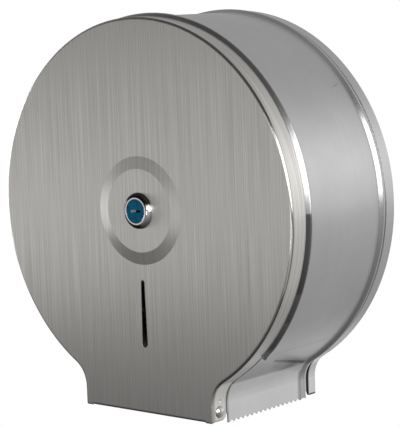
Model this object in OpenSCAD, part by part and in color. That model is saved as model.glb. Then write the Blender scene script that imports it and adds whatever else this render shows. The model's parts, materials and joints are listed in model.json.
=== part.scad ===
// Wall dispenser for one jumbo toilet roll, in bent stainless sheet.
// A flat back and a roll-formed drum stay on the wall. The round cover swings
// down on two rivets at its foot, and a central lock holds it to the spindle.
// Parts are drawn with the wall as z = 0 and the front towards +Z, and stand()
// turns each one so that the front faces -Y and the top faces +Z.

/* [Drum] */
// Radius of the drum's wall, and of the cover that sits flush with it
drum_r = 135; // [130:0.5:140]
// Distance from the wall to the cover's front face
body_depth = 116; // [112:0.5:124]
// Thickness of the drum's sheet
drum_sheet = 0.8; // [0.6:0.1:1]
// Half of the foot's width, over the cheeks
foot_half_w = 61; // [57:0.5:66]
// Radius of the hollow where the drum runs into a cheek
hollow_r = 20; // [18:0.5:24]
// Length of a straight cheek, from the hollow to the cover's lower edge
cheek_l = 13; // [12:0.5:20]
// Bend radius of the drum's sheet, at the middle of its thickness
drum_bend_r = 1.2; // [0.9:0.1:1.3]

/* [Beads] */
// Height of the two beads above the drum's wall
bead_h = 2.4; // [1.8:0.1:2.8]
// Width of a bead's flat crest, before its bends
crest_w = 1.2; // [1.2:0.1:2.4]
// Depth that a bead takes to fall to the wall
bead_run = 2.8; // [2.4:0.1:4]
// Depth that the front bead takes to fall to the lip
step_run = 3; // [2.6:0.1:3.4]
// Angle from the end of the front bead to the start of the hollow, in degrees
bead_stop = 12; // [4:1:24]
// Length of the ground seam that closes the front bead's end
seam_l = 1.2; // [0.8:0.1:2]
// Height of that seam above the sheet around it
seam_h = 0.05; // [0.03:0.01:0.08]
// Gap between the two lengths of sheet inside that seam
seam_inner_gap = 0.1; // [0.05:0.05:0.3]
// Room for the cover's flange to swing off the lip
lip_gap = 1.4; // [1.3:0.1:1.8]
// Setback of the lip's edge from the cover's front face
lip_setback = 2; // [1.8:0.1:3]
// Gap between the cover's flange and the front bead
seam_gap = 0.3; // [0.2:0.1:1]
// Gap between the rear bead and the back's rim
rim_gap = 0.8; // [0.5:0.1:2]

/* [Cutter] */
// Pitch of the cutter's teeth
tooth_pitch = 5; // [4:0.25:6]
// Depth of the scallops between teeth
tooth_h = 1.4; // [1:0.1:1.8]
// Width of a tooth's tip
tooth_tip = 0.7; // [0.4:0.1:1]
// Number of scallops in each cutter
tooth_count = 17; // [10:1:17]
// Reach of the cutter below the cover's lower edge
cutter_drop = 2; // [1.6:0.1:4]
// Plain edge between the cutter's front corner and its first scallop
cutter_lead = 1.4; // [1:0.1:3]

/* [Back] */
// Thickness of the back's sheet
back_sheet = 1; // [0.8:0.1:1.2]
// Height of the back's rim above the wall
rim_h = 10.6; // [9:0.2:13]
// Gap between the drum's rear lip and the rim around it
rim_fit = 0.1; // [0.05:0.05:0.2]
// Bend radius of the back's sheet, at the middle of its thickness
back_bend_r = 1.5; // [1:0.1:2]
// Radius at the lower corners of the rim
rim_corner_r = 2; // [1.5:0.25:4]
// Radius at the top of the slot between a cheek and the rim
slot_r = 7; // [5:0.5:9]
// Rise from the hollow's lower end to where the slot starts to curve
slot_rise = 7; // [4:0.5:9]
// Spacing of the four screw holes, across and up
screw_spacing = 140; // [120:5:160]
// Radius of a screw hole
screw_hole_r = 3; // [2.25:0.25:3.5]

/* [Cover] */
// Thickness of the cover's sheet
cover_sheet = 0.8; // [0.6:0.1:1]
// Depth of the cover's flange
cover_depth = 14.6; // [14:0.2:17]
// Outer bend radius around the cover's face
cover_bend_r = 2; // [1.5:0.1:2.4]
// Radius of the face's lower corners
face_corner_r = 2.5; // [2:0.25:3.5]
// Radius of the raised centre at the face
centre_r = 38.3; // [35:0.5:44]
// Radius of the raised centre's flat top
centre_top_r = 29.5; // [26:0.5:31]
// Height of the raised centre
centre_h = 1.1; // [0.8:0.1:1.6]
// Bend radius around the raised centre, at the middle of the sheet's thickness
centre_bend_r = 4; // [2:0.5:6]
// Length of the sight slot, between the centres of its round ends
sight_l = 44; // [30:1:60]
// Drop from the drum's axis to the slot's upper round end
sight_drop = 51; // [46:0.5:56]
// Width of the sight slot at its upper end
sight_top_w = 3.4; // [3:0.1:4]
// Width of the sight slot at its lower end
sight_bottom_w = 5.1; // [4.2:0.1:6]
// Depth of the return along the face's lower edge
return_d = 6; // [4:0.5:7]
// Room between the return and the rivets' tails
return_room = 1.6; // [1:0.2:4]

/* [Hinge] */
// Radius of a hinge rivet's shank
pivot_r = 2.5; // [2:0.25:3]
// Radial clearance of the cover's tab on the rivet
pivot_play = 0.08; // [0.05:0.01:0.1]
// Side clearance of the cover's tab
tab_play = 0.2; // [0.15:0.05:0.3]
// Radius of a rivet's domed head
dome_r = 4.4; // [4:0.2:5]
// Height of a rivet's domed head
dome_h = 2.2; // [1.6:0.1:2.6]
// Radius of a rivet's formed tail
tail_r = 3.6; // [3.4:0.1:4]
// Height of a rivet's formed tail
tail_h = 1.4; // [1:0.1:2]
// Radius of the washer between a tab and its ear
spacer_r = 5; // [4.5:0.1:5.2]
// Thickness of the washer under a rivet's tail
burr_t = 1; // [0.8:0.1:1.5]
// Radius of the washer under a rivet's tail
burr_r = 4.6; // [4.2:0.1:5]
// Drop from the hinge to the lower edge of the web behind an ear
ear_web = 2.2; // [1:0.1:3]
// Setback of a cheek's front edge behind the cover's flange
cheek_setback = 1.6; // [1.2:0.1:2.4]
// Rise from a hinge rivet to the dimple pressed above it
dimple_rise = 7.6; // [7:0.2:10]
// Radius of that dimple
dimple_r = 1.2; // [0.8:0.1:1.5]
// Depth of that dimple
dimple_d = 0.4; // [0.2:0.05:0.45]

/* [Spindle] */
// Outer radius of the post
post_r = 23; // [22:0.25:25]
// Wall of the post and of its base
post_wall = 1.5; // [1.4:0.1:1.8]
// Radius of the post's base
base_r = 37; // [36:0.5:42]
// Distance from the post's mouth to the cover's front face
mouth_gap = 8.6; // [8:0.2:10]
// Depth of the keeper plate inside the post's mouth
keeper_inset = 1.5; // [1:0.1:2]
// Thickness of the keeper plate
keeper_t = 1.5; // [1.2:0.1:2]
// Radial room between the keeper plate and the post
keeper_fit = 0.05; // [0.02:0.01:0.1]
// Room around the lock's barrel and cam in the keeper plate
keeper_room = 1; // [0.8:0.1:1.3]
// Radius of the circle of rivets in the post's base
post_rivet_pcr = 32.4; // [31.8:0.2:33]
// Number of rivets in that circle
post_rivet_count = 3; // [3:1:6]
// Radius of a base rivet's shank
post_rivet_r = 2; // [1.5:0.25:2]
// Radius of a base rivet's head
post_rivet_head_r = 3.5; // [3:0.25:3.75]
// Height of a base rivet's head
post_rivet_head_h = 1.6; // [1.2:0.1:1.7]
// Inner radius of the thrust washer
thrust_in_r = 25.2; // [25:0.1:25.6]
// Outer radius of the thrust washer
thrust_out_r = 28; // [27:0.25:28.5]
// Thickness of the thrust washer
thrust_t = 2; // [2:0.1:3]
// Width of the retaining ring
ring_w = 1.2; // [1:0.1:1.6]
// Depth of the retaining ring's groove
ring_groove = 0.6; // [0.4:0.05:0.8]
// Radial width of the retaining ring
ring_band = 2.6; // [2:0.1:3]
// Opening angle of the retaining ring
ring_open = 40; // [20:5:60]
// Distance from the retaining ring to the post's mouth
ring_setback = 8.2; // [7:0.2:10]

/* [Spool] */
// Outer radius of the spool's hub, inside the roll's core
hub_r = 28.6; // [28:0.1:29.5]
// Wall of the hub's outer and inner tubes
hub_wall = 1.6; // [1.2:0.1:1.8]
// Number of ribs between the hub's two tubes
hub_ribs = 8; // [4:1:12]
// Thickness of a rib
hub_rib_t = 1.6; // [1.2:0.1:2.4]
// Running clearance of the spool on the post
spool_play = 0.06; // [0.04:0.01:0.1]
// End play of the spool between its washer and the ring
spool_end_play = 0.4; // [0.3:0.1:1]
// Radius of the spool's rear flange
flange_r = 45; // [41:0.5:50]
// Thickness of the spool's rear flange
flange_t = 2.4; // [2:0.1:3.5]

/* [Lock] */
// Radius of the bezel where it meets the cover
bezel_r = 12.8; // [12:0.2:14]
// Radius of the bezel's front rim
bezel_rim_r = 9.65; // [9.5:0.05:10]
// Height of the bezel in front of the cover
bezel_h = 3.6; // [3:0.2:5]
// Radius of the blue key face
key_r = 8.5; // [8:0.1:8.8]
// Setback of the key face behind the bezel's rim
key_inset = 0.4; // [0.2:0.1:1]
// Length of the key slot
key_slot_l = 9; // [7:0.5:12]
// Width of the key slot
key_slot_w = 1.7; // [1.2:0.1:2.4]
// Depth of the key slot
key_slot_d = 1.8; // [1.2:0.1:2]
// Floor left in the bezel behind the key face
key_floor = 0.3; // [0.2:0.05:0.6]
// Radius of the lock's barrel
barrel_r = 9; // [8.6:0.1:9.2]
// Length of the barrel behind the bezel
barrel_l = 12; // [11.6:0.1:12.4]
// Half width between the barrel's two flats
barrel_flat = 8.2; // [7.8:0.1:8.4]
// Radius of the plug's shaft
shaft_r = 6; // [5.5:0.1:6.5]
// Running clearance of the plug in its housing
plug_play = 0.06; // [0.04:0.01:0.1]
// Radial room around the barrel in the cover, washer and nut
barrel_room = 0.15; // [0.1:0.05:0.25]
// Thickness of the toothed washer behind the cover
washer_t = 0.8; // [0.6:0.1:1]
// Thickness of the lock's nut
nut_t = 3; // [2.5:0.1:3.4]
// Half of the nut's width across its flats
nut_half = 11.5; // [11:0.25:12.5]
// Side of the plug's square stem
square_w = 7; // [6:0.25:7.5]
// Clearance on each side of the square stem
square_fit = 0.05; // [0.02:0.01:0.1]
// Thickness of the stop washer
stop_t = 1; // [0.8:0.1:1.2]
// Depth of the notch in the barrel's end that stops the turn
notch_d = 1.6; // [1.3:0.1:2]
// Outer radius of the stop washer
stop_r = 8.5; // [8:0.1:8.6]
// Half angle of the stop washer's tab
tab_half = 14; // [8:1:20]
// Radial width of that tab
tab_w = 2; // [1:0.1:2.4]
// Room between the stop washer's tab and the floor of its notch
tab_room = 0.6; // [0.3:0.1:0.8]
// Room left between the stop tab and its notch at each end of the turn, in degrees
stop_room = 3; // [2:1:6]
// Reach of the cam from the lock's axis
cam_reach = 17.5; // [16.5:0.25:18]
// Width of the cam's arm
cam_w = 9; // [8:0.5:10]
// Radius of the cam's eye, around its square hole
cam_eye_r = 6.5; // [6:0.25:7.5]
// Thickness of the cam
cam_t = 2; // [1.6:0.1:2.4]
// Setback of the stem's end inside the cam, so that the screw clamps the cam
stem_inset = 0.4; // [0.2:0.1:0.6]
// Gap between the cam and the keeper plate
cam_gap = 0.5; // [0.35:0.05:0.8]
// Turn of the lock from open to shut
lock_turn = 90; // [60:5:90]
// Thickness of the washer under the cam's screw
cam_washer_t = 1; // [0.6:0.1:1.2]
// Radius of that washer
cam_washer_r = 5.2; // [5:0.1:6]
// Radius of the cam screw's shank
cam_screw_r = 2; // [1.5:0.25:2]
// Radius of the cam screw's head
cam_screw_head_r = 3.5; // [3:0.25:4]
// Height of the cam screw's head
cam_screw_head_h = 2.2; // [1.6:0.1:2.4]
// Width of the cross slot in the screw's head
driver_w = 0.8; // [0.6:0.1:1]
// Length of the cross slot in the screw's head
driver_l = 4.8; // [3:0.2:5.4]

/* [Hidden] */
$fn = 96;
// Cuts run this far past the surfaces that they open
over = 1;
// Facets of one bend in a sheet's section
bend_steps = 6;
// Facets of each round end of the sight slot, and of a sector's edge
arc_steps = 16;
// Overlap of a sheet's flat part with its swept edge
flat_lap = 2;

// Centre of the right hollow, and the angle that the drum's arc reaches below level
hollow_x = foot_half_w + hollow_r;
hollow_y = -sqrt(pow(drum_r + hollow_r, 2) - pow(hollow_x, 2));
foot_angle = atan2(-hollow_y, hollow_x);
foot_y = hollow_y - cheek_l;
cutter_y = foot_y - cutter_drop;

// Radii of the drum's sheet at the middle of its thickness
wall_c = drum_r - drum_sheet / 2;
crest_c = wall_c + bead_h;
lip_c = wall_c - cover_sheet - lip_gap;

// Heights above the wall, from the cover back to the rim
cover_back_z = body_depth - cover_depth;
step_z = cover_back_z - seam_gap;
front_crest_z = step_z - step_run;
front_wall_z = front_crest_z - crest_w - bead_run;
rear_lip_z = rim_h + rim_gap;
rear_crest_z = rear_lip_z + bead_run;
rear_wall_z = rear_crest_z + crest_w + bead_run;

// Where the plain lip meets the wall, at the same slope as the front bead's fall
joggle_z = step_z - step_run * (wall_c - lip_c) / (crest_c - lip_c);

// Middle line of the front bead, from the lip back to the wall, and of the plain sheet
// that takes its place by the foot
front_bead = [
    [lip_c, step_z],
    [crest_c, front_crest_z],
    [crest_c, front_crest_z - crest_w],
    [wall_c, front_wall_z]
];
front_plain = [[lip_c, step_z], [wall_c, joggle_z]];

// Where the front bead ends in its seam, and the angles that the seam and the gap
// inside it take
bead_angle = foot_angle - bead_stop;
seam_angle = seam_l / drum_r * 180 / PI;
inner_angle = seam_inner_gap / drum_r * 180 / PI;

// The hinge lies midway in the flange, as far from the foot's lower edge
tab_r = cover_depth / 2;
hinge_z = body_depth - tab_r;
hinge_y = foot_y + tab_r;
tab_in_x = foot_half_w - cover_sheet;
ear_out_x = tab_in_x - lip_gap;
ear_in_x = ear_out_x - drum_sheet;
burr_in_x = ear_in_x - burr_t;
tail_in_x = burr_in_x - tail_h;
ear_r = tab_r - lip_setback;
cheek_front_z = cover_back_z - cheek_setback;
return_half_w = tail_in_x - return_room;

// Spindle, from the wall forward
base_top_z = back_sheet + post_wall;
thrust_top_z = base_top_z + thrust_t;
mouth_z = body_depth - mouth_gap;
keeper_front_z = mouth_z - keeper_inset;
keeper_back_z = keeper_front_z - keeper_t;
ring_z = mouth_z - ring_setback - ring_w;
spool_back_z = thrust_top_z + spool_end_play / 2;
spool_front_z = ring_z - spool_end_play / 2;
bore_r = post_r - post_wall;

// Lock, from the raised centre's face back
face_z = body_depth + centre_h;
cover_in_z = face_z - cover_sheet;
washer_back_z = cover_in_z - washer_t;
nut_back_z = washer_back_z - nut_t;
barrel_end_z = face_z - barrel_l;
rim_z = face_z + bezel_h;
key_z = rim_z - key_inset;
key_back_z = face_z + key_floor;
cam_front_z = keeper_back_z - cam_gap;
cam_back_z = cam_front_z - cam_t;
stop_back_z = cam_front_z;
stop_front_z = stop_back_z + stop_t;
stem_end_z = cam_back_z + stem_inset;
cam_washer_back_z = cam_back_z - cam_washer_t;
screw_head_back_z = cam_washer_back_z - cam_screw_head_h;

// Turns a part from the drawing's frame to the finished one.
module stand() {
    rotate([90, 0, 0]) children();
}

// Draws both the right-hand copy and its mirror image.
module both_sides() {
    children();
    mirror([1, 0, 0]) children();
}

// Extrudes a profile drawn as [height above the wall, height up the drum] along x.
module across(x_from, x_to) {
    translate([x_from, 0, 0]) rotate([90, 0, 90])
        linear_extrude(x_to - x_from) mirror([1, 0]) rotate(90) children();
}

// A disc or ring from z_from to z_to about the drum's axis.
module ring(out_r, in_r, z_from, z_to) {
    translate([0, 0, z_from]) linear_extrude(z_to - z_from) difference() {
        circle(out_r);
        if (in_r > 0) circle(in_r);
    }
}

function unit(v) = v / norm(v);
function turned(v, a) = [v.x * cos(a) - v.y * sin(a), v.x * sin(a) + v.y * cos(a)];
function normal(v) = [-v.y, v.x];

// Points and normals along the arc of radius r that rounds the corner b.
function bend(a, b, c, r) =
    let (
        u = unit(b - a),
        w = unit(c - b),
        turn = atan2(u.x * w.y - u.y * w.x, u * w),
        start = b - u * r * tan(abs(turn) / 2),
        to_centre = normal(u) * r * sign(turn)
    )
    [for (i = [0 : bend_steps])
        let (t = turn * i / bend_steps)
        [start + to_centre - turned(to_centre, t), turned(normal(u), t)]];

function end_normal(a, b) = normal(unit(b - a));

// Middle line of a bent sheet: its ends, and an arc at each corner between them.
function sheet_line(pts, r) =
    let (last = len(pts) - 1)
    concat(
        [[pts[0], end_normal(pts[0], pts[1])]],
        [for (i = [1 : last - 1]) each bend(pts[i - 1], pts[i], pts[i + 1], r)],
        [[pts[last], end_normal(pts[last - 1], pts[last])]]
    );

// Section of a bent sheet whose middle line runs through pts.
module sheet_section(pts, r, thickness) {
    line = sheet_line(pts, r);
    polygon(concat(
        [for (p = line) p[0] + p[1] * thickness / 2],
        [for (i = [len(line) - 1 : -1 : 0]) line[i][0] - line[i][1] * thickness / 2]
    ));
}

// Sweeps a section round the drum, through the hollows and down the cheeks.
// The section is drawn as [distance from the drum's axis, height above the wall].
module along_outline(bottom_y) {
    rotate_extrude(start = -foot_angle, angle = 180 + 2 * foot_angle) children();
    along_foot(bottom_y) children();
}

module along_foot(bottom_y) {
    both_sides() {
        translate([hollow_x, hollow_y, 0])
            rotate_extrude(start = 180 - foot_angle, angle = foot_angle)
                translate([drum_r + hollow_r, 0]) mirror([1, 0]) children();
        translate([foot_half_w - drum_r, hollow_y, 0]) rotate([90, 0, 0])
            linear_extrude(hollow_y - bottom_y) children();
    }
}

// Face view of the drum and its foot, moved out by grow.
module outline(grow, bottom_y) {
    circle(drum_r + grow);
    difference() {
        polygon([[hollow_x, hollow_y], [0, 0], [-hollow_x, hollow_y]]);
        both_sides() translate([hollow_x, hollow_y]) circle(hollow_r - grow);
    }
    translate([-foot_half_w - grow, bottom_y])
        square([2 * (foot_half_w + grow), hollow_y - bottom_y]);
}

// Flat back with a rim bent forward round the drum's rear lip.
module back_plate() {
    mid = back_sheet / 2;
    rim_c = drum_r + rim_fit + mid;
    flat_in = drum_r - 2 * flat_lap;
    color("silver") stand() difference() {
        union() {
            linear_extrude(back_sheet) outline(-flat_lap, foot_y);
            along_outline(foot_y)
                sheet_section([[flat_in, mid], [rim_c, mid], [rim_c, rim_h]],
                              back_bend_r, back_sheet);
        }
        for (x = [-1, 1], y = [-1, 1])
            translate([x * screw_spacing / 2, y * screw_spacing / 2, -over])
                cylinder(r = screw_hole_r, h = back_sheet + 2 * over);
        post_rivet_holes();
        rim_corners();
    }
}

// Rounds the lower corners of the rim, at the wall and at the front.
module rim_corners() {
    centre_z = rim_h / 2 - rim_corner_r;
    both_sides() across(foot_half_w, foot_half_w + rim_fit + back_sheet + over)
        translate([rim_h / 2, foot_y]) both_sides() difference() {
            translate([centre_z, -over]) square([rim_corner_r + over, rim_corner_r + over]);
            translate([centre_z, rim_corner_r]) circle(rim_corner_r);
        }
}

// Roll-formed sheet: lip, the given front, wall, rear bead and rear lip.
module drum_section(front, thickness = drum_sheet) {
    sheet_section(concat(
        [[lip_c, body_depth - lip_setback]],
        front,
        [
            [wall_c, rear_wall_z],
            [crest_c, rear_crest_z + crest_w],
            [crest_c, rear_crest_z],
            [wall_c, rear_lip_z],
            [wall_c, back_sheet]
        ]
    ), drum_bend_r, thickness);
}

// Ground seam that joins the beaded sheet to the plain one and fills the bead's end.
module seam_section() {
    polygon(front_bead);
    drum_section(front_bead, drum_sheet + 2 * seam_h);
    drum_section(front_plain, drum_sheet + 2 * seam_h);
}

// The drum's sheet: the front bead is closed short of the foot, and the rest goes on.
module drum_sweep() {
    arc_end = bead_angle - inner_angle / 2;
    rotate_extrude(start = -arc_end, angle = 180 + 2 * arc_end) drum_section(front_bead);
    both_sides() {
        rotate_extrude(start = -bead_angle - seam_angle / 2, angle = seam_angle) seam_section();
        rotate_extrude(start = -foot_angle, angle = bead_stop - inner_angle / 2)
            drum_section(front_plain);
    }
    along_foot(cutter_y) drum_section(front_plain);
}

module drum_shell() {
    inner_x = ear_in_x - over;
    outer_x = foot_half_w + bead_h + over;
    color("lightgray") stand() difference() {
        drum_sweep();
        both_sides() {
            across(inner_x, outer_x) front_relief();
            across(inner_x, hollow_x) rear_relief();
            across(inner_x, outer_x) scallops();
            translate([inner_x, hinge_y, hinge_z]) rotate([0, 90, 0])
                cylinder(r = pivot_r, h = drum_sheet + 2 * over);
        }
    }
}

// What is cut below the hinge, so that only its ear and a web are left of the lip.
module front_relief() {
    low_y = cutter_y - over;
    difference() {
        union() {
            translate([cheek_front_z, low_y])
                square([body_depth - cheek_front_z, hinge_y - ear_web - low_y]);
            translate([hinge_z, low_y]) square([tab_r, hinge_y - low_y]);
        }
        translate([hinge_z, hinge_y]) circle(ear_r);
    }
}

// What is cut behind a cheek's rear bead, so that an open slot parts it from the rim.
module rear_relief() {
    curve_centre = [rear_crest_z - slot_r, hollow_y + slot_rise];
    polygon(concat(
        [[-over, cutter_y - over], [rear_crest_z, cutter_y - over]],
        arc(curve_centre, slot_r, 0, 90),
        [[-over, curve_centre.y + slot_r]]
    ));
}

// Round scallops that leave the cutter's teeth between them.
module scallops() {
    half_chord = (tooth_pitch - tooth_tip) / 2;
    scallop_r = (pow(half_chord, 2) + pow(tooth_h, 2)) / (2 * tooth_h);
    first_z = cheek_front_z - cutter_lead - tooth_pitch / 2;
    for (i = [0 : tooth_count - 1])
        translate([first_z - i * tooth_pitch, cutter_y + tooth_h - scallop_r])
            circle(scallop_r);
}

// Drawn tube with a flared base, riveted to the back.
module spindle_post() {
    mid = post_wall / 2;
    color("gainsboro") stand() difference() {
        rotate_extrude()
            sheet_section([[base_r, back_sheet + mid], [post_r - mid, back_sheet + mid],
                           [post_r - mid, mouth_z]], post_wall, post_wall);
        post_rivet_holes();
        ring(post_r + over, post_r - ring_groove, ring_z, ring_z + ring_w);
    }
}

module post_rivet_places() {
    for (i = [0 : post_rivet_count - 1])
        rotate(i * 360 / post_rivet_count) translate([0, post_rivet_pcr, 0]) children();
}

module post_rivet_holes() {
    post_rivet_places() translate([0, 0, -over])
        cylinder(r = post_rivet_r, h = base_top_z + 2 * over);
}

module post_rivets() {
    color("darkgray") stand() post_rivet_places() {
        cylinder(r = post_rivet_r, h = base_top_z);
        translate([0, 0, base_top_z]) dome(post_rivet_head_r, post_rivet_head_h);
    }
}

// A spherical cap that stands on z = 0.
module dome(base_radius, height) {
    ball_r = (pow(base_radius, 2) + pow(height, 2)) / (2 * height);
    intersection() {
        translate([0, 0, height - ball_r]) sphere(ball_r);
        cylinder(r = base_radius + over, h = height + over);
    }
}

// Plate in the post's mouth: the barrel and cam pass its keyhole.
module keeper_plate() {
    slot_w = cam_w + 2 * keeper_room;
    slot_reach = cam_reach + keeper_room;
    color("silver") stand() translate([0, 0, keeper_back_z]) linear_extrude(keeper_t) difference() {
        circle(bore_r - keeper_fit);
        circle(barrel_r + keeper_room);
        translate([-slot_w / 2, 0]) square([slot_w, slot_reach]);
    }
}

module thrust_washer() {
    color("white") stand() ring(thrust_out_r, thrust_in_r, base_top_z, thrust_top_z);
}

// Snap ring: open on one side, with its ends cut square.
module retaining_ring() {
    groove_r = post_r - ring_groove;
    color("dimgray") stand() translate([0, 0, ring_z])
        rotate_extrude(start = 90 + ring_open / 2, angle = 360 - ring_open)
            translate([groove_r, 0]) square([ring_band, ring_w]);
}

// Domed hinge rivets: head outside the tab, tail formed inside the ear.
module hinge_rivets() {
    head_x = foot_half_w + tab_play;
    color("gainsboro") stand() both_sides()
        translate([0, hinge_y, hinge_z]) rotate([0, 90, 0]) {
            translate([0, 0, head_x]) dome(dome_r, dome_h);
            translate([0, 0, burr_in_x]) cylinder(r = pivot_r, h = head_x - burr_in_x);
            translate([0, 0, tail_in_x]) cylinder(r = tail_r, h = tail_h);
        }
}

// A washer round the hinge's axis, from x_from to x_to on the right.
module hinge_disc(radius, x_from, x_to) {
    translate([x_from, hinge_y, hinge_z]) rotate([0, 90, 0]) difference() {
        cylinder(r = radius, h = x_to - x_from);
        translate([0, 0, -over]) cylinder(r = pivot_r, h = x_to - x_from + 2 * over);
    }
}

module hinge_washers() {
    color("white") stand() both_sides() hinge_disc(spacer_r, ear_out_x, tab_in_x - tab_play);
}

module hinge_burrs() {
    color("silver") stand() both_sides() hinge_disc(burr_r, burr_in_x, ear_in_x);
}

// Moulded hub of two tubes joined by ribs, with a flange behind the roll.
module core_spool() {
    in_r = post_r + spool_play;
    color("whitesmoke") stand() {
        ring(in_r + hub_wall, in_r, spool_back_z, spool_front_z);
        ring(hub_r, hub_r - hub_wall, spool_back_z, spool_front_z);
        for (i = [0 : hub_ribs - 1]) rotate(i * 360 / hub_ribs)
            translate([in_r + hub_wall / 2, -hub_rib_t / 2, spool_back_z])
                cube([hub_r - in_r - hub_wall, hub_rib_t, spool_front_z - spool_back_z]);
        translate([0, 0, spool_back_z]) rotate_extrude() difference() {
            translate([in_r, 0]) square([flange_r - in_r, flange_t]);
            translate([flange_r - flange_t / 2, -over]) square([flange_t, flange_t + 2 * over]);
        }
        translate([0, 0, spool_back_z + flange_t / 2])
            rotate_extrude() translate([flange_r - flange_t / 2, 0]) circle(flange_t / 2);
    }
}

// Section of the cover's flange, with the bend round its face.
module cover_section() {
    mid = cover_sheet / 2;
    sheet_section([
        [drum_r - 2 * flat_lap, body_depth - mid],
        [drum_r - mid, body_depth - mid],
        [drum_r - mid, cover_back_z]
    ], cover_bend_r - mid, cover_sheet);
}

module front_cover() {
    mid = cover_sheet / 2;
    far_x = foot_half_w + over;
    color("silver") stand() difference() {
        union() {
            translate([0, 0, body_depth - cover_sheet]) linear_extrude(cover_sheet) difference() {
                outline(-flat_lap, foot_y);
                circle(centre_r + flat_lap);
                translate([-return_half_w, foot_y - over])
                    square([2 * return_half_w, flat_lap + over]);
            }
            along_outline(foot_y) cover_section();
            raised_centre();
            lower_return();
        }
        lock_hole(face_z);
        sight_slot();
        both_sides() {
            across(ear_out_x, far_x) tab_corner();
            face_corner();
            translate([ear_out_x, hinge_y, hinge_z]) rotate([0, 90, 0])
                cylinder(r = pivot_r + pivot_play, h = far_x - ear_out_x);
            translate([foot_half_w, hinge_y + dimple_rise, hinge_z]) dimple();
        }
    }
}

// Centre pressed forward from the face, with a sloping ring round its flat top.
module raised_centre() {
    mid = cover_sheet / 2;
    rotate_extrude()
        sheet_section([
            [centre_r + 2 * flat_lap, body_depth - mid],
            [centre_r, body_depth - mid],
            [centre_top_r, face_z - mid],
            [barrel_r - over, face_z - mid]
        ], centre_bend_r, cover_sheet);
}

// Lower edge of the face, bent back between the hinge ears.
module lower_return() {
    mid = cover_sheet / 2;
    translate([-return_half_w, 0, 0]) rotate([90, 0, 90]) linear_extrude(2 * return_half_w)
        sheet_section([
            [foot_y + 2 * flat_lap, body_depth - mid],
            [foot_y + mid, body_depth - mid],
            [foot_y + mid, body_depth - return_d]
        ], cover_bend_r - mid, cover_sheet);
}

// Barrel hole with two flats that keep the housing from turning.
module barrel_profile(room) {
    intersection() {
        circle(barrel_r + room);
        square([2 * (barrel_flat + room), 3 * barrel_r], center = true);
    }
}

module lock_hole(top_z) {
    translate([0, 0, top_z - cover_sheet - over]) linear_extrude(cover_sheet + 2 * over)
        barrel_profile(barrel_room);
}

// Tapered slot with round ends, to see how much paper is left.
module sight_slot() {
    top_r = sight_top_w / 2;
    low_r = sight_bottom_w / 2;
    lean = asin((low_r - top_r) / sight_l);
    top = [0, -sight_drop];
    low = [0, -sight_drop - sight_l];
    translate([0, 0, body_depth - cover_sheet - over]) linear_extrude(cover_sheet + 2 * over)
        polygon(concat(arc(top, top_r, lean, 180 - lean), arc(low, low_r, 180 - lean, 360 + lean)));
}

// Points along an arc between two angles.
function arc(centre, radius, angle_from, angle_to) = [
    for (i = [0 : arc_steps])
        let (a = angle_from + (angle_to - angle_from) * i / arc_steps)
        centre + radius * [cos(a), sin(a)]
];

// Rounds the rear lower corner of a hinge tab about its rivet.
module tab_corner() {
    difference() {
        translate([cover_back_z - over, foot_y - over]) square([tab_r + over, tab_r + over]);
        translate([hinge_z, hinge_y]) circle(tab_r);
    }
}

// Rounds a lower corner of the face.
module face_corner() {
    translate([0, 0, cover_back_z - over]) linear_extrude(cover_depth + 2 * over) difference() {
        translate([foot_half_w - face_corner_r, foot_y - over])
            square([face_corner_r + over, face_corner_r + over]);
        translate([foot_half_w - face_corner_r, foot_y + face_corner_r]) circle(face_corner_r);
    }
}

// Shallow round dimple pressed into a tab's outer face.
module dimple() {
    ball_r = (pow(dimple_r, 2) + pow(dimple_d, 2)) / (2 * dimple_d);
    translate([ball_r - dimple_d, 0, 0]) sphere(ball_r);
}

// Chrome bezel and barrel in one casting, bored for the plug.
module lock_housing() {
    notch_half = tab_half + stop_room;
    color("whitesmoke") stand() difference() {
        union() {
            translate([0, 0, barrel_end_z]) linear_extrude(barrel_l) barrel_profile(0);
            bezel();
        }
        translate([0, 0, key_back_z - plug_play])
            cylinder(r = key_r + plug_play, h = rim_z - key_back_z + over);
        translate([0, 0, barrel_end_z - over])
            cylinder(r = shaft_r + plug_play, h = key_back_z - barrel_end_z + over);
        translate([0, 0, barrel_end_z - over])
            linear_extrude(notch_d + over)
                sector(barrel_r + over, -notch_half - lock_turn, notch_half);
    }
}

// Rounded bezel in front of the cover.
module bezel() {
    drop = bezel_r - bezel_rim_r;
    round_r = (pow(drop, 2) + pow(bezel_h, 2)) / (2 * drop);
    translate([0, 0, face_z]) rotate_extrude() {
        square([bezel_rim_r, bezel_h]);
        intersection() {
            translate([bezel_rim_r, 0]) square([drop, bezel_h]);
            translate([bezel_r - round_r, 0]) circle(round_r);
        }
    }
}

// A pie slice of a disc between two angles, counted anticlockwise from straight up.
module sector(radius, angle_from, angle_to) {
    intersection() {
        circle(radius);
        polygon(concat([[0, 0]],
            arc([0, 0], radius + over, 90 + angle_from, 90 + angle_to)));
    }
}

module lock_washer() {
    color("gray") stand() translate([0, 0, washer_back_z]) linear_extrude(washer_t) difference() {
        circle(nut_half);
        barrel_profile(barrel_room);
    }
}

module lock_nut() {
    color("gainsboro") stand() translate([0, 0, nut_back_z]) linear_extrude(nut_t) difference() {
        circle(nut_half / cos(30), $fn = 6);
        circle(barrel_r + barrel_room);
    }
}

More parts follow.
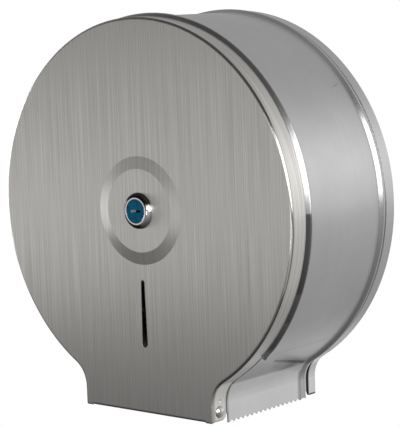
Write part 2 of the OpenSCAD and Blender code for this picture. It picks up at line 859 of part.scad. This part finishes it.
// Blue key face, shaft and square stem, with a blind hole for the cam's screw.
module lock_plug() {
    color("teal") stand() difference() {
        union() {
            translate([0, 0, key_back_z]) cylinder(r = key_r, h = key_z - key_back_z);
            translate([0, 0, stop_front_z + square_fit])
                cylinder(r = shaft_r, h = key_back_z - stop_front_z);
            translate([-square_w / 2, -square_w / 2, stem_end_z])
                cube([square_w, square_w, key_back_z - stem_end_z]);
        }
        translate([-key_slot_l / 2, -key_slot_w / 2, key_z - key_slot_d])
            cube([key_slot_l, key_slot_w, key_slot_d + over]);
        translate([0, 0, stem_end_z - over])
            cylinder(r = cam_screw_r, h = stop_front_z - stem_end_z + over);
    }
}

module square_hole() {
    side = square_w + 2 * square_fit;
    square([side, side], center = true);
}

// Washer keyed to the stem, whose tab runs in the barrel's notch.
module stop_washer() {
    tab_front_z = barrel_end_z + notch_d - tab_room;
    color("darkgray") stand() {
        translate([0, 0, stop_back_z]) linear_extrude(stop_t) difference() {
            circle(stop_r);
            square_hole();
        }
        translate([0, 0, stop_back_z]) linear_extrude(tab_front_z - stop_back_z) difference() {
            sector(stop_r, -tab_half, tab_half);
            circle(stop_r - tab_w);
        }
    }
}

// Flat arm that points up when the lock is open.
module lock_cam() {
    color("silver") stand() translate([0, 0, cam_back_z]) linear_extrude(cam_t) difference() {
        union() {
            circle(cam_eye_r);
            intersection() {
                translate([-cam_w / 2, 0]) square([cam_w, cam_reach]);
                circle(cam_reach);
            }
        }
        square_hole();
    }
}

module cam_washer() {
    color("gainsboro") stand() ring(cam_washer_r, cam_screw_r, cam_washer_back_z, cam_back_z);
}

module cam_screw() {
    color("gray") stand() difference() {
        union() {
            translate([0, 0, screw_head_back_z]) cylinder(r = cam_screw_head_r, h = cam_screw_head_h);
            translate([0, 0, cam_washer_back_z])
                cylinder(r = cam_screw_r, h = stop_front_z - cam_washer_back_z);
        }
        translate([0, 0, screw_head_back_z - over]) linear_extrude(over + cam_screw_head_h / 2) {
            square([driver_l, driver_w], center = true);
            square([driver_w, driver_l], center = true);
        }
    }
}

back_plate();
drum_shell();
spindle_post();
keeper_plate();
post_rivets();
thrust_washer();
retaining_ring();
hinge_rivets();
hinge_washers();
hinge_burrs();
core_spool();
front_cover();
lock_housing();
lock_washer();
lock_nut();
lock_plug();
stop_washer();
lock_cam();
cam_washer();
cam_screw();
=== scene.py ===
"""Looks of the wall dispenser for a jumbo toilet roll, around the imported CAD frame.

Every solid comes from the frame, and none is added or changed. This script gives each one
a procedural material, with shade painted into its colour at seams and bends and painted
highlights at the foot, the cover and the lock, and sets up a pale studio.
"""
import json
from math import cos, radians, sin, tan

import bpy
from mathutils import Matrix, Vector

MM = 0.001

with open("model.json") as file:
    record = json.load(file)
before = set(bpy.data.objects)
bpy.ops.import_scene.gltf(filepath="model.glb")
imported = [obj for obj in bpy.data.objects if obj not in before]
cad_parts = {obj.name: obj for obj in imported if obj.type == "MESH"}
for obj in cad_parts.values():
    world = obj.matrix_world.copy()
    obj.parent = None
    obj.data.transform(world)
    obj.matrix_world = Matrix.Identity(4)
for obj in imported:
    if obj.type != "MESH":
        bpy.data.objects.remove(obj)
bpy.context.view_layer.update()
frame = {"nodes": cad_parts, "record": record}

# Camera: where it stands round the object, how far off, and what it looks at
CAMERA_AZIMUTH = 40.91
CAMERA_ELEVATION = 6.84
CAMERA_ROLL = -2.10
CAMERA_DISTANCE = 1288.0 * MM
CAMERA_TARGET = (0.0, -66.0 * MM, 0.0)
CAMERA_SLIDE = (9.63 * MM, -7.70 * MM)
SENSOR = 36.0
LENS = 150.55

# How bright the room looks by how far a direction points back: -1 front, 1 the backdrop
ROOM = ((-1.0, 0.06), (-0.45, 0.06), (-0.15, 0.22), (0.3, 0.40), (0.48, 0.52), (0.75, 0.42),
        (0.88, 0.60), (1.0, 1.0))
# Soft glows in the room and on the floor: azimuth, elevation, level, sharpness
GLOWS = ((140.4, 13.0, 0.55, 18.0), (141.3, -16.0, 0.12, 10.0), (50.0, -13.0, 0.40, 60.0),
         (-168.0, -40.0, 0.38, 60.0), (65.0, 66.0, 0.18, 8.0), (30.0, -17.0, 0.28, 15.0))

# The floor lies low enough for the opened cover to swing clear of it
FLOOR_Z = -0.62
FLOOR_SIZE = 9.0
FLOOR_PAPER = (0.85, 0.85, 0.85, 1.0)
# How bright the floor looks in metal: close in front, far in front, to the right, and
# behind on the left and on the right
FLOOR_LEVELS = (0.07, 0.16, 0.24, 0.30, 0.42)
# Where each of those turns into the next, in metres: from far to close in front, and how
# far aside the far part ends, from the front to the right, from the front to the back, and
# behind from left to right
FLOOR_CLOSE = (-1.2, -0.5)
FLOOR_ASIDE = (-0.3, 0.1)
FLOOR_RIGHT = (-0.15, 0.2)
FLOOR_BEHIND = (-0.05, 0.4)
FLOOR_ACROSS = (-0.25, 0.05)
# How much the lines of FLOOR_ASIDE and FLOOR_RIGHT slant
ASIDE_SLANT = 0.35
RIGHT_SLANT = 0.7

# name: azimuth from the front towards +X, elevation, width and height in degrees, radiance
SOFTBOXES = {
    "left_box": (-80.0, -7.0, 30.0, 9.0, 2.35),
    "front_strip": (-43.0, -4.5, 50.0, 13.0, 0.315),
    "front_core": (3.0, -9.0, 16.0, 10.0, 1.9),
    "left_upper_box": (-88.0, 4.0, 24.0, 12.0, 4.2),
    "right_front_box": (24.0, 10.5, 36.0, 18.0, 2.3),
    "right_box": (64.0, 15.5, 44.0, 35.0, 2.2),
}
LAMP_DISTANCE = 2.0
# Watts for each square metre of a lamp and each unit of its radiance
LAMP_POWER = 4.0


def direction(azimuth, elevation):
    """Unit vector towards an azimuth, 0 in front and 90 to the right, and an elevation."""
    a, e = radians(azimuth), radians(elevation)
    return Vector((sin(a) * cos(e), -cos(a) * cos(e), sin(e)))


def make_camera():
    back = direction(CAMERA_AZIMUTH, CAMERA_ELEVATION)
    level = (-back).cross(Vector((0, 0, 1))).normalized()
    upright = level.cross(-back)
    roll = radians(CAMERA_ROLL)
    right = level * cos(roll) + upright * sin(roll)
    up = upright * cos(roll) - level * sin(roll)
    target = Vector(CAMERA_TARGET) + right * CAMERA_SLIDE[0] + up * CAMERA_SLIDE[1]
    data = bpy.data.cameras.new("photo_camera")
    data.sensor_width = SENSOR
    data.lens = LENS
    camera = bpy.data.objects.new("photo_camera", data)
    turn = Matrix((right, up, back)).transposed().to_4x4()
    camera.matrix_world = Matrix.Translation(target + back * CAMERA_DISTANCE) @ turn
    bpy.context.scene.collection.objects.link(camera)
    bpy.context.scene.camera = camera


def make_softbox(name, azimuth, elevation, width, height, radiance):
    """A rectangular lamp that faces the object; its power follows from its radiance."""
    data = bpy.data.lights.new(name, "AREA")
    data.shape = "RECTANGLE"
    data.size = 2 * LAMP_DISTANCE * tan(radians(width / 2))
    data.size_y = 2 * LAMP_DISTANCE * tan(radians(height / 2))
    data.energy = radiance * LAMP_POWER * data.size * data.size_y
    lamp = bpy.data.objects.new(name, data)
    towards = direction(azimuth, elevation)
    lamp.location = towards * LAMP_DISTANCE
    lamp.rotation_mode = "QUATERNION"
    lamp.rotation_quaternion = towards.to_track_quat("Z", "Y")
    lamp.visible_camera = False
    bpy.context.scene.collection.objects.link(lamp)


class Nodes:
    """Short names for building a node tree."""

    # Sockets of a mix node by what it mixes: factor, first, second and result
    MIX_SOCKETS = {"FLOAT": (0, 2, 3, 0), "VECTOR": (0, 4, 5, 1), "RGBA": (0, 6, 7, 2)}

    def __init__(self, tree):
        self.tree = tree
        tree.nodes.clear()

    def add(self, kind, **settings):
        node = self.tree.nodes.new(kind)
        for key, value in settings.items():
            setattr(node, key, value)
        return node

    def link(self, source, target):
        self.tree.links.new(source, target)

    def fill(self, sockets, inputs):
        """Links or sets each socket that has an input."""
        for socket, item in zip(sockets, inputs):
            if item is None:
                continue
            if isinstance(item, bpy.types.NodeSocket):
                self.link(item, socket)
            else:
                socket.default_value = item

    def value(self, operation, first, second=None, third=None):
        node = self.add("ShaderNodeMath", operation=operation)
        self.fill(node.inputs, (first, second, third))
        return node.outputs[0]

    def times(self, first, second):
        return self.value("MULTIPLY", first, second)

    def vector(self, operation, first, second=None):
        node = self.add("ShaderNodeVectorMath", operation=operation)
        self.fill(node.inputs, (first, second))
        return node.outputs["Value" if operation == "DOT_PRODUCT" else "Vector"]

    def scaled(self, colour, factor):
        """A fixed colour times a factor."""
        node = self.add("ShaderNodeVectorMath", operation="SCALE")
        node.inputs[0].default_value = colour
        self.link(factor, node.inputs["Scale"])
        return node.outputs[0]

    def mix(self, kind, factor, first, second):
        node = self.add("ShaderNodeMix", data_type=kind)
        *sources, result = self.MIX_SOCKETS[kind]
        self.fill([node.inputs[index] for index in sources], (factor, first, second))
        return node.outputs[result]

    def factor(self, where, level):
        """1 where the mask is 0 and a level where it is 1."""
        return self.mix("FLOAT", where, 1.0, level)

    def ramp(self, source, low, high):
        """0 below low, 1 above high, with a smooth change between them."""
        node = self.add("ShaderNodeMapRange", interpolation_type="SMOOTHSTEP")
        self.link(source, node.inputs["Value"])
        node.inputs["From Min"].default_value = low
        node.inputs["From Max"].default_value = high
        return node.outputs["Result"]

    def band(self, source, low, high, soft):
        """1 between two values and 0 outside them, with soft ends."""
        return self.value("SUBTRACT", self.ramp(source, low - soft, low + soft),
                          self.ramp(source, high - soft, high + soft))

    def parts(self, vector):
        """The X, Y and Z of a vector, by name."""
        node = self.add("ShaderNodeSeparateXYZ")
        self.link(vector, node.inputs[0])
        return node.outputs

    def noise(self, coordinates, scale, detail=2.0, roughness=0.5):
        node = self.add("ShaderNodeTexNoise")
        node.inputs["Scale"].default_value = scale
        node.inputs["Detail"].default_value = detail
        node.inputs["Roughness"].default_value = roughness
        self.link(coordinates, node.inputs["Vector"])
        return node.outputs["Fac"]

    def swing(self, noise, depth):
        """A noise about 0, by how much it lightens and darkens."""
        return self.times(self.value("SUBTRACT", noise, 0.5), depth)

    def bump(self, height, strength, distance):
        node = self.add("ShaderNodeBump")
        node.inputs["Strength"].default_value = strength
        node.inputs["Distance"].default_value = distance
        self.link(height, node.inputs["Height"])
        return node


def add_glows(n, towards, level):
    """A brightness with the soft glows of GLOWS added, in a direction from the object."""
    for azimuth, elevation, strength, sharpness in GLOWS:
        along = n.vector("DOT_PRODUCT", towards, direction(azimuth, elevation))
        near = n.value("POWER", n.value("MAXIMUM", along, 0.0), sharpness)
        level = n.value("MULTIPLY_ADD", near, strength, level)
    return level


def make_world():
    """A dim room in front of the object and a white backdrop behind it, which the camera
    sees all round."""
    world = bpy.data.worlds.new("studio")
    world.use_nodes = True
    bpy.context.scene.world = world
    n = Nodes(world.node_tree)
    coordinates = n.add("ShaderNodeTexCoord").outputs["Generated"]
    ramp = n.add("ShaderNodeValToRGB")
    back = n.parts(coordinates)["Y"]
    n.link(n.value("MULTIPLY_ADD", back, 0.5, 0.5), ramp.inputs["Fac"])
    stops = ramp.color_ramp.elements
    for index, (depth, grey) in enumerate(ROOM):
        stop = stops[index] if index < 2 else stops.new(1.0)
        stop.position = (depth + 1) / 2
        stop.color = (grey, grey, grey, 1.0)
    seen = n.add("ShaderNodeLightPath").outputs["Is Camera Ray"]
    level = add_glows(n, coordinates, ramp.outputs["Color"])
    shader = n.add("ShaderNodeBackground")
    n.link(n.mix("FLOAT", seen, level, 1.0), shader.inputs["Color"])
    n.link(shader.outputs[0], n.add("ShaderNodeOutputWorld").inputs["Surface"])


def floor_level(n, spot):
    """How bright a spot of the floor looks in metal."""
    close_front, far_front, right, back_left, back_right = FLOOR_LEVELS
    place = n.parts(spot)
    aside = n.value("MULTIPLY_ADD", place["Y"], ASIDE_SLANT, place["X"])
    slant = n.value("MULTIPLY_ADD", place["X"], RIGHT_SLANT, place["Y"])
    close = n.value("MAXIMUM", n.ramp(place["Y"], *FLOOR_CLOSE), n.ramp(aside, *FLOOR_ASIDE))
    front = n.mix("FLOAT", close, far_front, close_front)
    ahead = n.mix("FLOAT", n.ramp(slant, *FLOOR_RIGHT), front, right)
    behind = n.mix("FLOAT", n.ramp(place["X"], *FLOOR_ACROSS), back_left, back_right)
    level = n.mix("FLOAT", n.ramp(place["Y"], *FLOOR_BEHIND), ahead, behind)
    return add_glows(n, n.vector("NORMALIZE", spot), level)


def make_floor():
    """Pale paper that the camera sees white, and that metal sees as floor_level says."""
    half = FLOOR_SIZE / 2
    mesh = bpy.data.meshes.new("floor")
    corners = [(x, y, FLOOR_Z) for x, y in
               ((-half, -half), (half, -half), (half, half), (-half, half))]
    mesh.from_pydata(corners, [], [(0, 1, 2, 3)])
    floor = bpy.data.objects.new("floor", mesh)
    bpy.context.scene.collection.objects.link(floor)
    material = bpy.data.materials.new("floor_paper")
    material.use_nodes = True
    n = Nodes(material.node_tree)
    paper = n.add("ShaderNodeBsdfDiffuse")
    paper.inputs["Color"].default_value = FLOOR_PAPER
    level = floor_level(n, n.add("ShaderNodeTexCoord").outputs["Object"])
    path = n.add("ShaderNodeLightPath").outputs
    lit = n.add("ShaderNodeEmission")
    n.link(n.mix("FLOAT", path["Is Camera Ray"], level, 1.0), lit.inputs["Strength"])
    seen = n.value("MAXIMUM", path["Is Camera Ray"], path["Is Glossy Ray"])
    mixed = n.add("ShaderNodeMixShader")
    n.fill(mixed.inputs, (seen, paper.outputs[0], lit.outputs[0]))
    n.link(mixed.outputs[0], n.add("ShaderNodeOutputMaterial").inputs["Surface"])
    mesh.materials.append(material)


# How squarely a surface faces the front or back, 0 to 1, tells its kind. From and to:
FACING = (0.86, 0.90)
SIDE_ENDS = (0.1, 0.3)
FRONT_RIM = (0.985, 0.995)
# Likewise with how soft the ends are:
BEND = (0.28, 0.66, 0.06)
SLOPE = (0.88, 0.97, 0.02)
RING = (0.90, 0.992, 0.003)
# The roughness of a slope, as a share of the face's
SLOPE_ROUGHNESS = 0.6

# Brushing: how much it is drawn out, and the noises of the fine and wide lines and of the
# clouds in the steel, as scale, detail and roughness
DRAWN_OUT = 0.008
FINE_LINES = (1050.0, 2.0, 0.6)
WIDE_LINES = (380.0, 2.0, 0.6)
CLOUDS = (28.0, 3.0, 0.6)
# How deep the wide streaks are, as a share of the fine ones
WIDE_SHARE = 0.1
# What a lighter tone adds to the roughness, as a share of it
TONE_ROUGHNESS = -0.5
# The bump of the fine lines, as strength and depth, and the radius of softened edges
STEEL_BUMP = (0.12, 0.01 * MM)
SOFT_EDGE = 0.3 * MM
SOFT_EDGE_SAMPLES = 4

# Heights, in metres. Between two of them the steel of the foot starts to get its painted
# light
FOOT_LINE = (-0.1205, -0.1185)
# The rest as from, to and how soft they end: where the painted shade is left off the cover's
# rolled edge, its lower part, and where the flange and the ring about the lock get painted
# highlights
UNSHADED_EDGE = (-0.050, 0.063, 0.006)
LOWER_EDGE = (-0.050, -0.004, 0.006)
FLANGE = (-0.052, 0.095, 0.018)
LOCK_RING = (-0.018, 0.017, 0.007)
LOCK_RING_LEVEL = 1.3
# Painted highlight and shade on the lower edge, by how squarely it faces front: from, to,
# softness, level
LOWER_EDGE_BANDS = ((0.52, 0.87, 0.03, 1.65), (0.12, 0.42, 0.03, 0.5))

# Painted shades (level below 1), painted highlights (above 1) and a scuff on the outside of
# the steel, in mm: Y from and to, height from and to, how much the height drops for each mm
# of Y, how soft they end, and the level of the colour in them
PAINTED_LIGHT_AND_SCUFF = {
    "brushed_steel": (
        (-102.2, -95.0, -150.0, -119.5, 0.0, 0.3, 0.35),    # painted shade at the edge of the flange at the foot
        (-130.0, -114.0, -150.0, -144.2, 0.0, 0.4, 0.35),   # painted shade on the bottom edge of the face
        (-115.5, -102.4, -144.0, -117.0, 0.0, 0.5, 1.6),    # painted highlight on the flange at the foot
    ),
    "drum_steel": (
        (-101.0, -97.0, -98.4, -94.0, 0.0, 0.6, 1.4),       # painted highlight at the end of the front bead
        (-105.0, -99.4, -119.5, -99.6, 0.0, 0.4, 0.40),     # painted shade on the seam below it
        (-20.6, -17.8, -150.0, -125.0, 0.0, 0.5, 0.68),     # painted shade in a line up the rear of the cheek
        # painted shade on the front of the bead, in three steps
        (-100.9, -98.3, -92.0, 2.5, 0.0, 0.8, 0.65),        # front of the bead below the
        (-100.9, -98.3, -72.0, 2.5, 0.0, 0.8, 0.65),        # middle, lighter towards its end
        (-100.9, -98.3, -52.0, 2.5, 0.0, 0.8, 0.60),
        (-105.0, -100.3, -150.0, -119.5, 0.0, 0.3, 0.35),   # painted shadow in the seam beside the cheek
        (-76.0, -20.0, -122.9, -121.1, 0.219, 0.6, 0.42),   # painted shade of a crease above the cheek
        (-52.0, -21.0, -123.2, -121.2, 0.219, 0.6, 0.38),   # painted shade of its deeper rear part
        (-66.0, -20.0, -129.0, -122.0, 0.219, 2.5, 0.80),   # soft painted shade below it
        (-30.0, -22.5, 89.0, 89.9, -0.25, 0.4, 0.78),       # scuff on the wall
    ),
    "back_steel": (
        (-12.0, -9.3, -150.0, -112.0, 0.0, 0.25, 0.08),     # painted shadow in the gap in front of the rim
        (-12.0, -1.5, -150.0, -144.1, 0.0, 0.3, 0.15),      # painted shade on the bottom edge of the rim
        (-9.0, -0.6, -144.0, -112.0, 0.0, 0.6, 1.55),       # painted highlight on the flange at the foot
    ),
}
# The outside is where the normal points away from the drum's axis by more than this
OUTSIDE = -0.001

# A painted reflection on the side of the lock's bezel, which stays bright to the right: how
# far up and how far to the right of the axis, as sines, and the painted dark level elsewhere
GLINT_UP = (0.15, 0.5)
GLINT_RIGHT = (0.2, 0.7)
GLINT_DARK = 0.10

# The key slot, painted dark as shade with a pale grey glint of metal at one end: where it
# starts behind the face, where the glint ends, both colours
SLOT_Y = (-0.1202, -0.1199)
SLOT_GLINT_X = (-0.0022, -0.0008)
SLOT_METAL_GLINT = (0.45, 0.45, 0.42, 1.0)
SLOT_SHADE = (0.0, 0.001, 0.0015, 1.0)

# The texture of plastic: its bump, as strength and depth, and what it adds to the roughness
PLASTIC_BUMP = (0.15, 0.05 * MM)
PLASTIC_ROUGHNESS = 0.15


def new_material(name):
    """A material with one Principled shader, and the helper that builds round it."""
    material = bpy.data.materials.new(name)
    material.use_nodes = True
    n = Nodes(material.node_tree)
    shader = n.add("ShaderNodeBsdfPrincipled")
    n.link(shader.outputs[0], n.add("ShaderNodeOutputMaterial").inputs["Surface"])
    return material, n, shader


def grain(n, shader, anisotropy, place, normal, facing):
    """Brushing that runs up the face and round the sides, as noise coordinates; the
    highlight spreads across it."""
    across_face = n.vector("CROSS_PRODUCT", normal, (0.0, 0.0, 1.0))
    across = n.mix("VECTOR", facing, (0.0, 1.0, 0.0), across_face)
    turn = n.add("ShaderNodeVectorTransform", vector_type="VECTOR",
                 convert_from="OBJECT", convert_to="WORLD")
    n.link(across, turn.inputs[0])
    n.link(turn.outputs[0], shader.inputs["Tangent"])
    shader.inputs["Anisotropic"].default_value = anisotropy
    face = n.vector("MULTIPLY", place, (1.0, 0.0, DRAWN_OUT))
    side = n.vector("MULTIPLY", place, (DRAWN_OUT, 1.0, DRAWN_OUT))
    return n.mix("VECTOR", facing, side, face)


def paint_outside(n, bright, shades_and_scuff, place, normal):
    """A brightness with painted shades and highlights and a scuff, which leave the inside of
    the sheet as it is.
    """
    where = n.parts(place)
    y, z = n.value("DIVIDE", where["Y"], MM), n.value("DIVIDE", where["Z"], MM)
    outwards = n.vector("DOT_PRODUCT", n.vector("MULTIPLY", place, (1.0, 0.0, 1.0)), normal)
    outside = n.value("GREATER_THAN", outwards, OUTSIDE)
    for y_from, y_to, z_from, z_to, lean, soft, level in shades_and_scuff:
        height = n.value("MULTIPLY_ADD", y, lean, z)
        inside = n.times(n.band(y, y_from, y_to, soft), n.band(height, z_from, z_to, soft))
        bright = n.times(bright, n.factor(n.times(inside, outside), level))
    return bright


def painted_lock_glint(n, where, square_on):
    """The factor of a painted reflection on the lock's bezel, whose side stays bright to the
    right and is painted nearly black elsewhere."""
    around = n.add("ShaderNodeCombineXYZ")
    n.link(where["X"], around.inputs["X"])
    n.link(where["Z"], around.inputs["Z"])
    way = n.parts(n.vector("NORMALIZE", around.outputs[0]))
    not_above = n.value("SUBTRACT", 1.0, n.ramp(way["Z"], *GLINT_UP))
    lit = n.times(not_above, n.ramp(way["X"], *GLINT_RIGHT))
    side = n.mix("FLOAT", lit, GLINT_DARK, 1.0)
    return n.mix("FLOAT", n.ramp(square_on, *FRONT_RIM), side, 1.0)


def paint_cover_light(n, bright, height, square_on, flange):
    """A brightness with painted light and shade on the cover: a painted highlight and shade
    on the lower part of its rolled edge, and painted highlights on the ring about its lock
    and, by the factor flange, on its flange."""
    low_part = n.band(height, *LOWER_EDGE)
    for low, high, soft, level in LOWER_EDGE_BANDS:
        part = n.times(n.band(square_on, low, high, soft), low_part)
        bright = n.times(bright, n.factor(part, level))
    ring = n.times(n.band(square_on, *RING), n.band(height, *LOCK_RING))
    bright = n.times(bright, n.factor(ring, LOCK_RING_LEVEL))
    sides = n.value("SUBTRACT", 1.0, n.ramp(square_on, *SIDE_ENDS))
    lit = n.times(sides, n.band(height, *FLANGE))
    return n.times(bright, n.factor(lit, flange))


def steel(name, tint, roughness, side_roughness, anisotropy, streak, mottle, foot=1.0,
          edge=1.0, flange=None, glint=False):
    """Brushed or satin stainless steel: fine streaks, cloudy patches and soft edges. What
    faces the front or back and what faces sideways may be brushed more or less finely,
    and the foot below FOOT_LINE may get painted light by the factor foot, the bends above it
    painted shade by the factor edge. The cover alone has painted light on its flange, edge
    and lock ring, and the lock alone a painted glint."""
    material, n, shader = new_material(name)
    shader.inputs["Metallic"].default_value = 1.0
    texture = n.add("ShaderNodeTexCoord").outputs
    place, normal = texture["Object"], texture["Normal"]
    where = n.parts(place)
    square_on = n.value("ABSOLUTE", n.parts(normal)["Y"])
    facing = n.ramp(square_on, *FACING)

    lines = grain(n, shader, anisotropy, place, normal, facing)
    fine = n.noise(lines, *FINE_LINES)
    tone = n.value("ADD", n.swing(fine, streak),
                   n.swing(n.noise(lines, *WIDE_LINES), streak * WIDE_SHARE))
    tone = n.value("ADD", tone, n.swing(n.noise(place, *CLOUDS), mottle))

    # painted shade on the bends, left off where the cover's edge keeps its highlight
    bend = n.band(square_on, *BEND)
    unshaded_bend = n.times(bend, n.band(where["Z"], *UNSHADED_EDGE))
    above = n.factor(n.value("SUBTRACT", bend, unshaded_bend), edge)
    # painted light and shade on the cover
    if flange:
        above = paint_cover_light(n, above, where["Z"], square_on, flange)
    # painted light on the foot, below FOOT_LINE
    bright = n.times(n.value("ADD", tone, 1.0),
                     n.mix("FLOAT", n.ramp(where["Z"], *FOOT_LINE), foot, above))
    # a painted reflection on the lock's bezel
    if glint:
        bright = n.times(bright, painted_lock_glint(n, where, square_on))
    # painted shades and highlights, and a scuff, on the outside
    if name in PAINTED_LIGHT_AND_SCUFF:
        bright = paint_outside(n, bright, PAINTED_LIGHT_AND_SCUFF[name], place, normal)
    n.link(n.scaled(tint, bright), shader.inputs["Base Color"])

    rough = n.mix("FLOAT", facing, side_roughness, roughness)
    rough = n.mix("FLOAT", n.band(square_on, *SLOPE), rough, roughness * SLOPE_ROUGHNESS)
    rough = n.times(rough, n.value("MULTIPLY_ADD", tone, TONE_ROUGHNESS, 1.0))
    n.link(rough, shader.inputs["Roughness"])

    bump = n.bump(fine, *STEEL_BUMP)
    soft = n.add("ShaderNodeBevel", samples=SOFT_EDGE_SAMPLES)
    soft.inputs["Radius"].default_value = SOFT_EDGE
    n.link(soft.outputs[0], bump.inputs["Normal"])
    n.link(bump.outputs[0], shader.inputs["Normal"])
    return material


def key_slot(n, place, colour):
    """Paints what lies behind the key face dark as shade, with a pale grey glint of metal at
    one end.
    """
    where = n.parts(place)
    depth = n.mix("RGBA", n.ramp(where["X"], *SLOT_GLINT_X), SLOT_METAL_GLINT, SLOT_SHADE)
    return n.mix("RGBA", n.ramp(where["Y"], *SLOT_Y), colour, depth)


def plastic(name, tint, roughness, grain_size, gloss=0.5, mottle=(40.0, 0.08), slot=False):
    """Moulded plastic with a fine spark-eroded texture and clouds of a size and depth,
    mottle. The key face alone has its slot painted: dark as shade, with a pale grey glint."""
    material, n, shader = new_material(name)
    place = n.add("ShaderNodeTexCoord").outputs["Object"]
    fine = n.noise(place, grain_size)
    size, depth = mottle
    cloud = n.value("SUBTRACT", n.noise(place, size), 0.5)
    colour = n.scaled(tint, n.value("MULTIPLY_ADD", cloud, depth, 1.0))
    if slot:
        colour = key_slot(n, place, colour)
    n.link(colour, shader.inputs["Base Color"])
    n.link(n.value("MULTIPLY_ADD", fine, PLASTIC_ROUGHNESS, roughness),
           shader.inputs["Roughness"])
    shader.inputs["Specular IOR Level"].default_value = gloss
    n.link(n.bump(fine, *PLASTIC_BUMP).outputs[0], shader.inputs["Normal"])
    return material


# name: tint, roughness of the face and of the sides, anisotropy, depth of the streaks and of
# the clouds, and the painted light and shade that the steel has
STEELS = {
    "brushed_steel": ((0.60, 0.585, 0.56), 0.36, 0.18, 0.85, 0.85, 0.05,
                      {"edge": 0.27, "flange": 1.25}),
    "drum_steel": ((0.60, 0.60, 0.60), 0.26, 0.26, 0.6, 0.08, 0.16, {"foot": 1.5}),
    "back_steel": ((0.60, 0.60, 0.60), 0.34, 0.24, 0.4, 0.06, 0.12, {"edge": 0.4}),
    "plated_steel": ((0.66, 0.66, 0.63), 0.38, 0.38, 0.2, 0.08, 0.15, {}),
    "rivet_steel": ((0.70, 0.70, 0.70), 0.22, 0.22, 0.0, 0.04, 0.06, {}),
    "spring_steel": ((0.30, 0.30, 0.31), 0.35, 0.35, 0.2, 0.05, 0.1, {}),
    "chrome": ((0.82, 0.82, 0.83), 0.07, 0.13, 0.0, 0.0, 0.03, {"glint": True}),
}
# name: tint, roughness, scale of the texture, and what else the plastic has
PLASTICS = {
    "blue_plastic": ((0.001, 0.090, 0.165), 0.3, 3000.0,
                     {"gloss": 0.08, "mottle": (420.0, 1.6), "slot": True}),
    "white_plastic": ((0.82, 0.82, 0.80), 0.45, 1500.0, {}),
    "spool_plastic": ((0.55, 0.56, 0.57), 0.45, 1500.0, {}),
}


def dress_nodes():
    """Gives every CAD node the material of its record's slot."""
    materials = {}
    for make, table in ((steel, STEELS), (plastic, PLASTICS)):
        for name, (*settings, extras) in table.items():
            materials[name] = make(name, *settings, **extras)
    slots = {row["node"]: row["material_slot"] for row in frame["record"]["subparts"]}
    for name, node in frame["nodes"].items():
        node.material_slots[0].material = materials[slots[name]]


make_camera()
make_world()
make_floor()
for name, settings in SOFTBOXES.items():
    make_softbox(name, *settings)
dress_nodes()

bpy.context.scene.view_settings.view_transform = "Standard"
